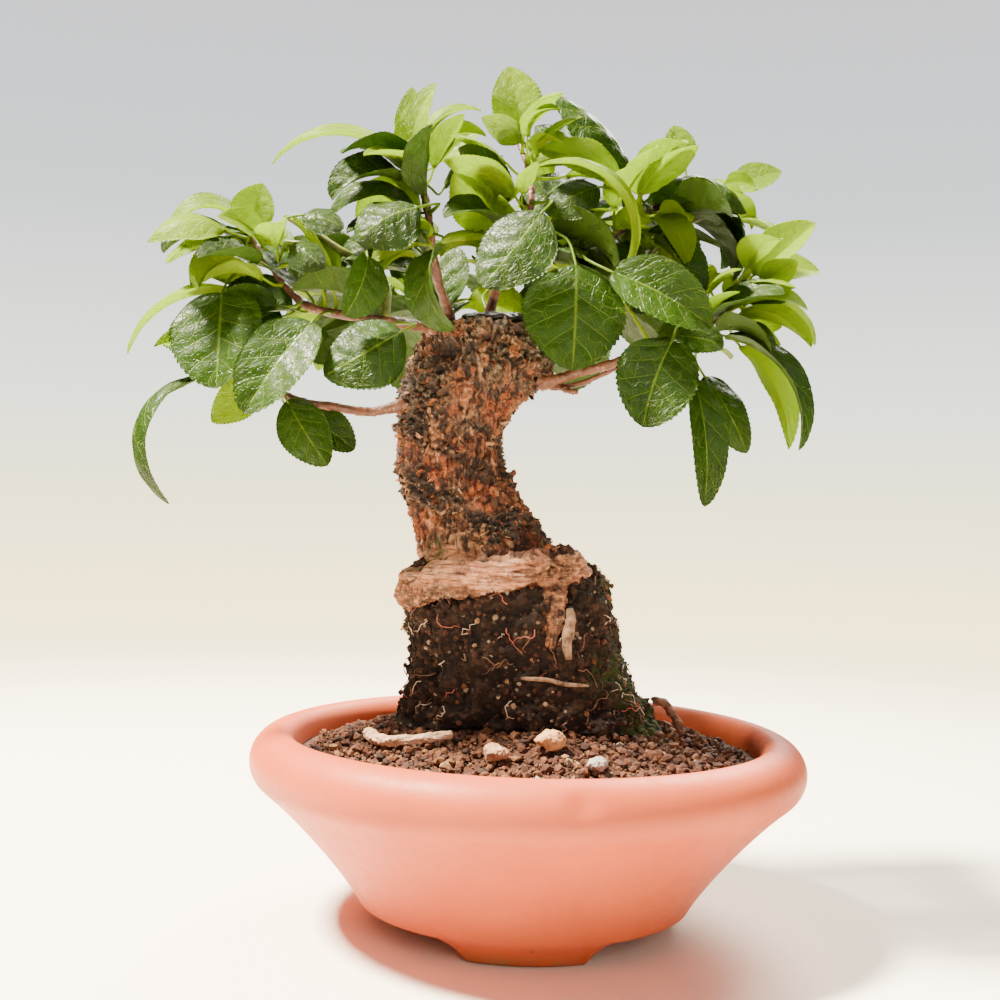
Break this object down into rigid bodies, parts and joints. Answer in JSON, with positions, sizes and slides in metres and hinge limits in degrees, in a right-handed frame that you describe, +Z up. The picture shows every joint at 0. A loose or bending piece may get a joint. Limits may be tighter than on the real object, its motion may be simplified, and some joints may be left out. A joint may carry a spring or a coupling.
{
  "type": "bonsai tree in a pot",
  "caption": "Small bonsai with a bent trunk on a raised root mound, glossy ovate leaves, and a round bowl pot with a rolled rim on feet, for display.",
  "frame": {"origin": "middle of the bottom of the whole object's bounding box, on the surface that the feet stand on", "axes": "+Z up; the pot's axis is parallel to Z; -Y is the tree's front, with the trunk's hollow opening towards +X"},
  "size_m": [0.185, 0.15, 0.2298],
  "materials": {
    "twig": "satin",
    "brown_stone": "matte",
    "dark_root": "matte",
    "drain_mesh": "matte",
    "grey_stone": "matte",
    "mature_leaf": "satin",
    "ochre_stone": "matte",
    "pale_root": "matte",
    "ceramic": "satin",
    "mound": "matte",
    "soil": "matte",
    "bark": "matte",
    "paste": "satin",
    "young_leaf": "satin"
  },
  "bodies": {
    "root": {"back_left_branch": "twig", "back_right_branch": "twig", "brown_stone": "brown_stone", "crown_centre_branch": "twig", "crown_left_branch": "twig", "crown_right_branch": "twig", "dark_surface_root": "dark_root", "drain_mesh": "drain_mesh", "grey_stone": "grey_stone", "low_left_branch": "twig", "mature_leaf_01": "mature_leaf", "mature_leaf_02": "mature_leaf", "mature_leaf_03": "mature_leaf", "mature_leaf_04": "mature_leaf", "mature_leaf_05": "mature_leaf", "mature_leaf_06": "mature_leaf", "mature_leaf_07": "mature_leaf", "mature_leaf_08": "mature_leaf", "mature_leaf_09": "mature_leaf", "mature_leaf_10": "mature_leaf", "mature_leaf_11": "mature_leaf", "mature_leaf_12": "mature_leaf", "mature_leaf_13": "mature_leaf", "mature_leaf_14": "mature_leaf", "mature_leaf_15": "mature_leaf", "mature_leaf_16": "mature_leaf", "mature_leaf_17": "mature_leaf", "mature_leaf_18": "mature_leaf", "mature_leaf_19": "mature_leaf", "mature_leaf_20": "mature_leaf", "mature_leaf_21": "mature_leaf", "mature_leaf_22": "mature_leaf", "mature_leaf_23": "mature_leaf", "mature_leaf_24": "mature_leaf", "mature_leaf_25": "mature_leaf", "mature_leaf_26": "mature_leaf", "ochre_stone": "ochre_stone", "pale_surface_root": "pale_root", "pot": "ceramic", "right_branch": "twig", "root_mound": "mound", "soil_bed": "soil", "trunk": "bark", "upper_left_branch": "twig", "wound_paste": "paste", "young_leaf_01": "young_leaf", "young_leaf_02": "young_leaf", "young_leaf_03": "young_leaf", "young_leaf_04": "young_leaf", "young_leaf_05": "young_leaf", "young_leaf_06": "young_leaf", "young_leaf_07": "young_leaf", "young_leaf_08": "young_leaf", "young_leaf_09": "young_leaf", "young_leaf_10": "young_leaf", "young_leaf_11": "young_leaf", "young_leaf_12": "young_leaf", "young_leaf_13": "young_leaf", "young_leaf_14": "young_leaf", "young_leaf_15": "young_leaf"}
  },
  "joints": []
}
